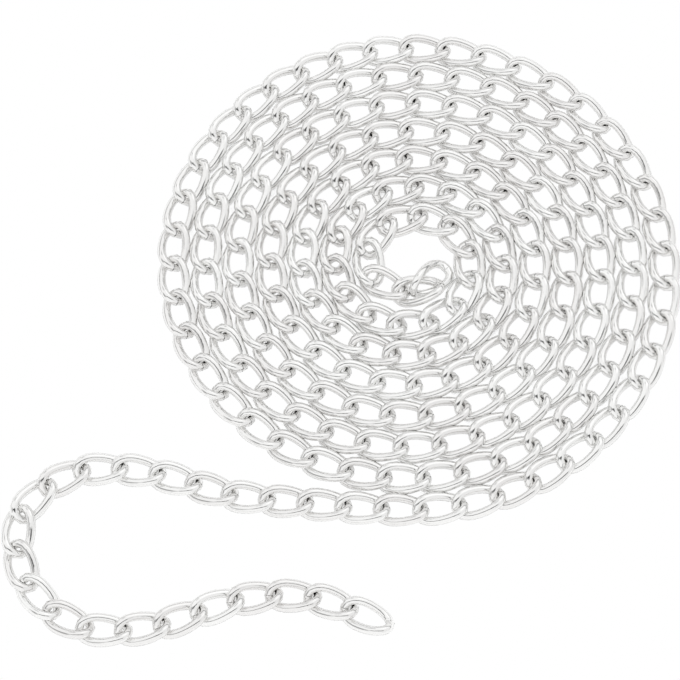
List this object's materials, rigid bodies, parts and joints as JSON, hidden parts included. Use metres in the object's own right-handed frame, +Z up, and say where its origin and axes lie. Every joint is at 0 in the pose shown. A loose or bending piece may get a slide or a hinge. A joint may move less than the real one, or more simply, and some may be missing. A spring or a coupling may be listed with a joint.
{
  "type": "coil of aluminum curb chain",
  "caption": "Length of bright aluminum curb chain laid flat as a neat spiral coil, its outer end running off in a short loose tail.",
  "frame": {"origin": "on the floor, under the middle of the chain's bounding box", "axes": "+Z up. The loose tail runs out to -X and -Y of the coil, and the coil winds inwards anticlockwise seen from above."},
  "size_m": [0.2692, 0.2673, 0.0132],
  "materials": {
    "aluminium": "polished"
  },
  "bodies": {
    "root": {"tail_end_link": "aluminium", "tail_run_1": "aluminium", "tail_run_2": "aluminium", "tail_run_3": "aluminium", "tail_run_4": "aluminium", "tail_run_5": "aluminium", "tail_run_6": "aluminium", "turn_1_run_1": "aluminium", "turn_1_run_2": "aluminium", "turn_1_run_3": "aluminium", "turn_1_run_4": "aluminium", "turn_1_run_5": "aluminium", "turn_1_run_6": "aluminium", "turn_1_run_7": "aluminium", "turn_1_run_8": "aluminium", "turn_1_run_9": "aluminium", "turn_1_run_10": "aluminium", "turn_1_run_11": "aluminium", "turn_2_run_1": "aluminium", "turn_2_run_2": "aluminium", "turn_2_run_3": "aluminium", "turn_2_run_4": "aluminium", "turn_2_run_5": "aluminium", "turn_2_run_6": "aluminium", "turn_2_run_7": "aluminium", "turn_2_run_8": "aluminium", "turn_3_run_1": "aluminium", "turn_3_run_2": "aluminium", "turn_3_run_3": "aluminium", "turn_3_run_4": "aluminium", "turn_3_run_5": "aluminium", "turn_3_run_6": "aluminium", "turn_3_run_7": "aluminium", "turn_3_run_8": "aluminium", "turn_4_run_1": "aluminium", "turn_4_run_2": "aluminium", "turn_4_run_3": "aluminium", "turn_4_run_4": "aluminium", "turn_4_run_5": "aluminium", "turn_4_run_6": "aluminium", "turn_5_run_1": "aluminium", "turn_5_run_2": "aluminium", "turn_5_run_3": "aluminium", "turn_5_run_4": "aluminium", "turn_5_run_5": "aluminium", "turn_6_run_1": "aluminium", "turn_6_run_2": "aluminium", "turn_6_run_3": "aluminium", "innermost_run": "aluminium"}
  },
  "joints": []
}
